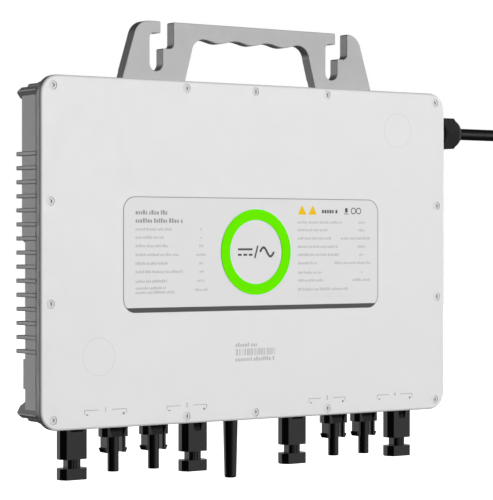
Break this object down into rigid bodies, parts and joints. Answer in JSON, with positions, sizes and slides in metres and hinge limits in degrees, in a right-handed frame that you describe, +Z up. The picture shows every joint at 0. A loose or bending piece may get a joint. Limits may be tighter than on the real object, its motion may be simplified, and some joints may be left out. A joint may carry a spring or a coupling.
{
  "type": "micro inverter",
  "caption": "Flat wall-hung micro inverter with finned back, hook-slot carry handle, solar connectors, stub antenna and a short output cable with plug.",
  "frame": {"origin": "midway between the two hanging-bolt seats, on the back face of the hanger plate", "axes": "+X to the right seen from the front, +Y towards the wall or rail, +Z up"},
  "size_m": [0.5328, 0.0347, 0.3411],
  "materials": {
    "cover_paint": "fine satin powder coat, light grey",
    "cast_grey": "matt grey coated die casting",
    "hanger_grey": "matt grey coated aluminium plate",
    "label_print": "printed polyester film",
    "ring_green": "bright green light ring",
    "stainless": "stainless screws",
    "cover_screw_steel": "coated screws in the cover's colour",
    "black_plastic": "moulded glass-filled nylon",
    "antenna_black": "smooth moulded rubber",
    "seal_rubber": "silicone seal",
    "cable_jacket": "smooth black cable jacket",
    "tinned_contact": "tin-plated copper contacts",
    "nickel": "nickel-plated brass",
    "circuit_board": "green solder mask",
    "ferrite": "sintered ferrite",
    "copper_winding": "enamelled copper wire",
    "can_aluminium": "sleeved aluminium cans",
    "film_block": "moulded film capacitor boxes",
    "relay_case": "moulded relay cases",
    "chip_epoxy": "moulded epoxy packages",
    "thermal_silicone": "soft gap pads",
    "shield_can": "tinned shield can",
    "terminal_green": "moulded terminal blocks",
    "lead_insulation": "insulated wire",
    "vent_grey": "moulded vent cap"
  },
  "bodies": {
    "housing": {"front_cover": "cover_paint", "cover_screws": "cover_screw_steel", "cover_gasket": "seal_rubber", "label_film": "label_print", "green_ring": "ring_green", "heat_sink": "cast_grey", "earth_screw": "stainless", "vent_plug": "vent_grey", "hanger_bracket": "hanger_grey", "hanger_screws": "stainless", "connector_seals": "seal_rubber", "panel_locknuts": "black_plastic", "pin_contacts": "tinned_contact", "socket_contacts": "tinned_contact", "antenna_rod": "antenna_black", "antenna_bulkhead": "nickel", "antenna_locknut": "nickel", "antenna_coax": "cable_jacket", "gland_body": "black_plastic", "gland_seal": "seal_rubber", "ac_cable": "cable_jacket", "ac_plug_rear_nut": "black_plastic", "ac_plug_body": "black_plastic", "ac_plug_contacts": "tinned_contact", "main_board": "circuit_board", "board_screws": "stainless", "transformer_cores": "ferrite", "transformer_windings": "copper_winding", "bus_capacitors": "can_aluminium", "filter_capacitors": "film_block", "choke_core": "ferrite", "choke_winding": "copper_winding", "ac_relays": "relay_case", "power_transistors": "chip_epoxy", "thermal_pads": "thermal_silicone", "radio_module": "shield_can", "control_chips": "chip_epoxy", "terminal_blocks": "terminal_green", "dc_inner_leads": "lead_insulation", "ac_inner_leads": "lead_insulation", "pv1_minus_socket": "black_plastic", "pv2_plus_socket": "black_plastic", "pv3_minus_socket": "black_plastic", "pv4_plus_socket": "black_plastic", "pv1_plus_plug": "black_plastic", "pv2_minus_plug": "black_plastic", "pv3_plus_plug": "black_plastic", "pv4_minus_plug": "black_plastic"},
    "antenna_collar_nut": {"antenna_collar": "nickel"},
    "gland_bush": {"gland_clamp_ring": "seal_rubber"},
    "gland_nut": {"gland_dome_nut": "black_plastic"},
    "plug_ring": {"ac_plug_lock_ring": "black_plastic"},
    "pv1_plus_left_arm": {"pv1_plus_latch_left": "black_plastic"},
    "pv1_plus_right_arm": {"pv1_plus_latch_right": "black_plastic"},
    "pv2_minus_left_arm": {"pv2_minus_latch_left": "black_plastic"},
    "pv2_minus_right_arm": {"pv2_minus_latch_right": "black_plastic"},
    "pv3_plus_left_arm": {"pv3_plus_latch_left": "black_plastic"},
    "pv3_plus_right_arm": {"pv3_plus_latch_right": "black_plastic"},
    "pv4_minus_left_arm": {"pv4_minus_latch_left": "black_plastic"},
    "pv4_minus_right_arm": {"pv4_minus_latch_right": "black_plastic"}
  },
  "joints": [
    {"name": "pv1_plus_left_snap", "type": "hinge", "parent": "housing", "child": "pv1_plus_left_arm", "pos_m": [-0.1156, 0.0025, -0.2647], "axis": [0, -1, 0], "range_deg": [0, 6], "stiffness_Nm_per_rad": 0.03},
    {"name": "pv1_plus_right_snap", "type": "hinge", "parent": "housing", "child": "pv1_plus_right_arm", "pos_m": [-0.1015, 0.0025, -0.2647], "axis": [0, 1, 0], "range_deg": [0, 6]},
    {"name": "pv2_minus_left_snap", "type": "hinge", "parent": "housing", "child": "pv2_minus_left_arm", "pos_m": [-0.0814, 0.0025, -0.2647], "axis": [0, -1, 0], "range_deg": [0, 6], "stiffness_Nm_per_rad": 0.03},
    {"name": "pv2_minus_right_snap", "type": "hinge", "parent": "housing", "child": "pv2_minus_right_arm", "pos_m": [-0.0673, 0.0025, -0.2647], "axis": [0, 1, 0], "range_deg": [0, 6]},
    {"name": "pv3_plus_left_snap", "type": "hinge", "parent": "housing", "child": "pv3_plus_left_arm", "pos_m": [0.0822, 0.0025, -0.2647], "axis": [0, -1, 0], "range_deg": [0, 6], "stiffness_Nm_per_rad": 0.03},
    {"name": "pv3_plus_right_snap", "type": "hinge", "parent": "housing", "child": "pv3_plus_right_arm", "pos_m": [0.0963, 0.0025, -0.2647], "axis": [0, 1, 0], "range_deg": [0, 6]},
    {"name": "pv4_minus_left_snap", "type": "hinge", "parent": "housing", "child": "pv4_minus_left_arm", "pos_m": [0.1115, 0.0025, -0.2647], "axis": [0, -1, 0], "range_deg": [0, 6], "stiffness_Nm_per_rad": 0.03},
    {"name": "pv4_minus_right_snap", "type": "hinge", "parent": "housing", "child": "pv4_minus_right_arm", "pos_m": [0.1256, 0.0025, -0.2647], "axis": [0, 1, 0], "range_deg": [0, 6]},
    {"name": "gland_bush_slide", "type": "slide", "parent": "housing", "child": "gland_bush", "axis": [1, 0, 0], "range_m": [0, 0.0015]},
    {"name": "gland_nut_turn", "type": "hinge", "parent": "gland_bush", "child": "gland_nut", "pos_m": [0.19965, 0.003, -0.042], "axis": [1, 0, 0], "range_deg": [0, 360]},
    {"name": "antenna_collar_turn", "type": "hinge", "parent": "housing", "child": "antenna_collar_nut", "pos_m": [-0.00675, 0.0025, -0.255], "axis": [0, 0, 1], "continuous": true},
    {"name": "plug_ring_turn", "type": "hinge", "parent": "housing", "child": "plug_ring", "pos_m": [0.34265, 0.006, -0.3], "axis": [0, 0, 1], "range_deg": [0, 40]}
  ],
  "couplings": [
    {"joint": "pv1_plus_right_snap", "follows": "pv1_plus_left_snap", "ratio": 1},
    {"joint": "pv2_minus_right_snap", "follows": "pv2_minus_left_snap", "ratio": 1},
    {"joint": "pv3_plus_right_snap", "follows": "pv3_plus_left_snap", "ratio": 1},
    {"joint": "pv4_minus_right_snap", "follows": "pv4_minus_left_snap", "ratio": 1},
    {"joint": "gland_nut_turn", "follows": "gland_bush_slide", "rad_per_m": 4188.8}
  ]
}
